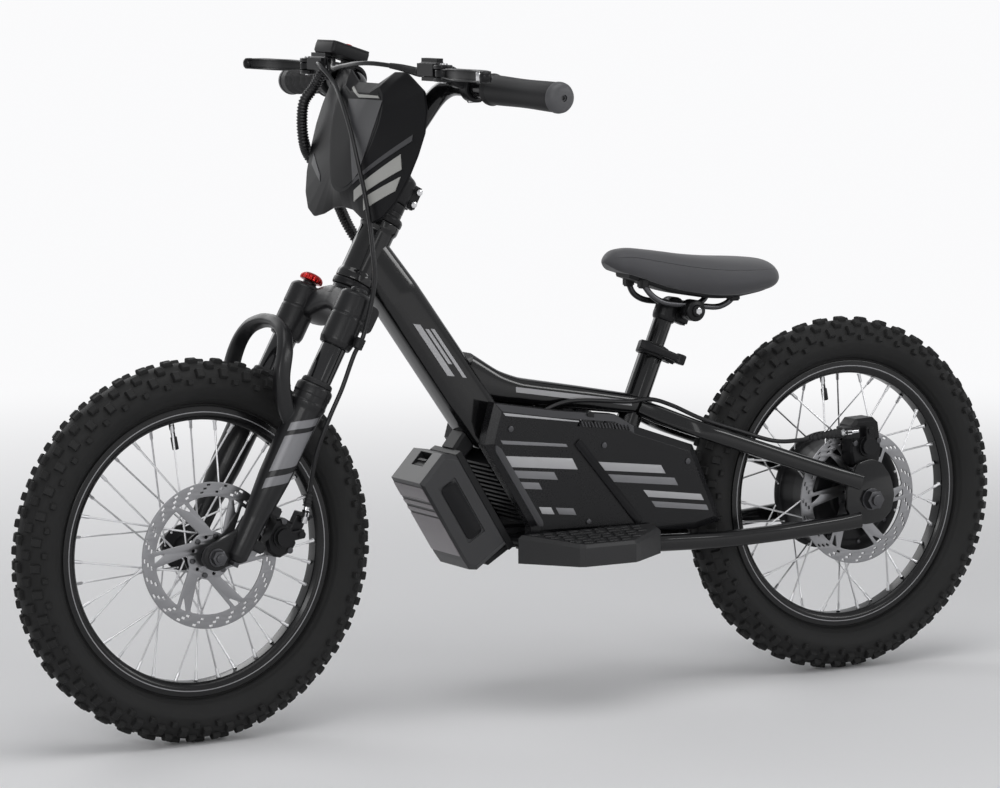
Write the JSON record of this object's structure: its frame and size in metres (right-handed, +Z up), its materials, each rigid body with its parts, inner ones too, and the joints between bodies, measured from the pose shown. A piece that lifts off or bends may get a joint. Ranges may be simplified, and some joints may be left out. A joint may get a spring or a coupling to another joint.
{
  "type": "kids electric bike",
  "caption": "Small electric balance-style bike with knobbly wheels, hub motor, disc brakes, sprung fork, footrests and a lift-out battery.",
  "frame": {"origin": "on the ground under the middle of the wheelbase, in the plane of the wheels", "axes": "+X forward, +Y to the rider's left, +Z up"},
  "size_m": [1.27, 0.6386, 0.7577],
  "materials": {
    "frame_paint": "gloss black paint",
    "black_plastic": "matt black moulding",
    "panel_plastic": "satin to gloss black moulding",
    "grey_plastic": "dark grey moulding",
    "tyre_rubber": "black tyre rubber with blocks",
    "grip_rubber": "black rubber with rings",
    "black_alloy": "black anodised or painted alloy",
    "steel": "plain steel",
    "disc_steel": "ground steel disc",
    "red_anodised": "red anodised alloy",
    "saddle_cover": "dark grey sewn cover over foam"
  },
  "bodies": {
    "main_frame": {"head_tube": "frame_paint", "down_tube": "frame_paint", "top_tube": "frame_paint", "seat_tube": "frame_paint", "seat_stay_left": "frame_paint", "seat_stay_right": "frame_paint", "chain_stay_left": "frame_paint", "chain_stay_right": "frame_paint", "body_panel_left": "panel_plastic", "body_panel_right": "panel_plastic", "controller": "black_alloy", "battery_dock": "black_plastic", "footrest_left": "black_plastic", "footrest_right": "black_plastic", "headset_lower": "black_alloy", "headset_upper": "black_alloy", "seat_collar": "black_alloy", "motor_axle": "steel", "rear_caliper": "black_alloy", "brake_cable_rear": "black_plastic", "wiring_conduit": "black_plastic"},
    "rear_brake_arm": {"rear_caliper_arm": "black_alloy"},
    "battery": {"battery_pack": "grey_plastic"},
    "latch": {"battery_latch": "red_anodised"},
    "seat": {"seatpost": "frame_paint", "saddle_clamp": "black_alloy", "saddle_shell": "black_plastic", "saddle_cushion": "saddle_cover", "saddle_rail_left": "frame_paint", "saddle_rail_right": "frame_paint"},
    "seat_lever": {"seat_qr_lever": "black_plastic"},
    "handlebar_and_crown": {"fork_crown": "black_alloy", "stem": "black_alloy", "stem_faceplate": "black_alloy", "handlebar": "frame_paint", "grip_left": "grip_rubber", "throttle_housing": "black_plastic", "brake_perch_left": "black_alloy", "brake_perch_right": "black_alloy", "display": "black_plastic", "number_plate": "panel_plastic", "brake_cable_front": "black_plastic", "brake_cable_upper": "black_plastic"},
    "throttle": {"throttle_grip": "grip_rubber"},
    "left_lever": {"brake_lever_left": "black_alloy"},
    "right_lever": {"brake_lever_right": "black_alloy"},
    "button": {"power_button": "red_anodised"},
    "knob": {"fork_knob": "red_anodised"},
    "sliders": {"fork_lowers": "frame_paint", "front_caliper": "black_alloy", "front_axle": "steel"},
    "front_brake_arm": {"front_caliper_arm": "black_alloy"},
    "front_wheel": {"front_hub": "steel", "front_rim": "black_alloy", "front_tyre": "tyre_rubber", "front_disc": "disc_steel"},
    "rear_wheel": {"motor_shell": "black_alloy", "rear_rim": "black_alloy", "rear_tyre": "tyre_rubber", "rear_disc": "disc_steel"}
  },
  "joints": [
    {"name": "steering", "type": "hinge", "parent": "main_frame", "child": "handlebar_and_crown", "pos_m": [0.38885, 0, 0.19191], "axis": [-0.4772, 0, 0.8788], "range_deg": [-40, 40], "deforming": ["wiring_conduit"]},
    {"name": "fork_travel", "type": "slide", "parent": "handlebar_and_crown", "child": "sliders", "axis": [-0.4772, 0, 0.8788], "range_m": [0, 0.035], "stiffness_N_per_m": 9000, "springref_m": -0.012, "deforming": ["brake_cable_front"]},
    {"name": "front_wheel_spin", "type": "hinge", "parent": "sliders", "child": "front_wheel", "pos_m": [0.424, 0, 0.211], "axis": [0, 1, 0], "continuous": true},
    {"name": "rear_wheel_spin", "type": "hinge", "parent": "main_frame", "child": "rear_wheel", "pos_m": [-0.424, 0, 0.211], "axis": [0, 1, 0], "continuous": true},
    {"name": "left_brake_lever", "type": "hinge", "parent": "handlebar_and_crown", "child": "left_lever", "pos_m": [0.1973, 0.16, 0.72803], "axis": [0, 0, 1], "range_deg": [0, 15], "stiffness_Nm_per_rad": 1.5, "springref_deg": -5.73},
    {"name": "right_brake_lever", "type": "hinge", "parent": "handlebar_and_crown", "child": "right_lever", "pos_m": [0.1973, -0.16, 0.72803], "axis": [0, 0, -1], "range_deg": [0, 15], "stiffness_Nm_per_rad": 1.5, "springref_deg": -5.73},
    {"name": "front_brake_arm_pivot", "type": "hinge", "parent": "sliders", "child": "front_brake_arm", "pos_m": [0.34561, 0, 0.22695], "axis": [0, 1, 0], "range_deg": [0, 12]},
    {"name": "rear_brake_arm_pivot", "type": "hinge", "parent": "main_frame", "child": "rear_brake_arm", "pos_m": [-0.42182, 0, 0.27346], "axis": [0, 1, 0], "range_deg": [0, 20]},
    {"name": "throttle_twist", "type": "hinge", "parent": "handlebar_and_crown", "child": "throttle", "pos_m": [0.1573, -0.156, 0.71203], "axis": [-0.0962, -0.9945, -0.0412], "range_deg": [0, 70], "stiffness_Nm_per_rad": 0.4, "springref_deg": -8.59},
    {"name": "power_button_press", "type": "slide", "parent": "handlebar_and_crown", "child": "button", "axis": [0.309, 0, -0.9511], "range_m": [0, 0.001], "stiffness_N_per_m": 600, "springref_m": -0.001},
    {"name": "fork_knob_turn", "type": "hinge", "parent": "handlebar_and_crown", "child": "knob", "pos_m": [0.25047, -0.06, 0.4866], "axis": [-0.4772, 0, 0.8788], "range_deg": [0, 120]},
    {"name": "seat_height", "type": "slide", "parent": "main_frame", "child": "seat", "axis": [-0.3843, 0, 0.9232], "range_m": [-0.02, 0.05]},
    {"name": "seat_lever_swing", "type": "hinge", "parent": "main_frame", "child": "seat_lever", "pos_m": [-0.18586, 0.024, 0.38651], "axis": [-0.3843, 0, 0.9232], "range_deg": [0, 120]},
    {"name": "battery_removal", "type": "slide", "parent": "main_frame", "child": "battery", "axis": [0.515, 0, 0.8572], "range_m": [0, 0.11]},
    {"name": "battery_latch_pull", "type": "slide", "parent": "battery", "child": "latch", "axis": [-0.8572, 0, 0.515], "range_m": [0, 0.004], "stiffness_N_per_m": 300, "springref_m": -0.002}
  ],
  "couplings": [
    {"joint": "front_brake_arm_pivot", "follows": "right_brake_lever", "ratio": 0.8},
    {"joint": "rear_brake_arm_pivot", "follows": "left_brake_lever", "ratio": 1.3333}
  ]
}
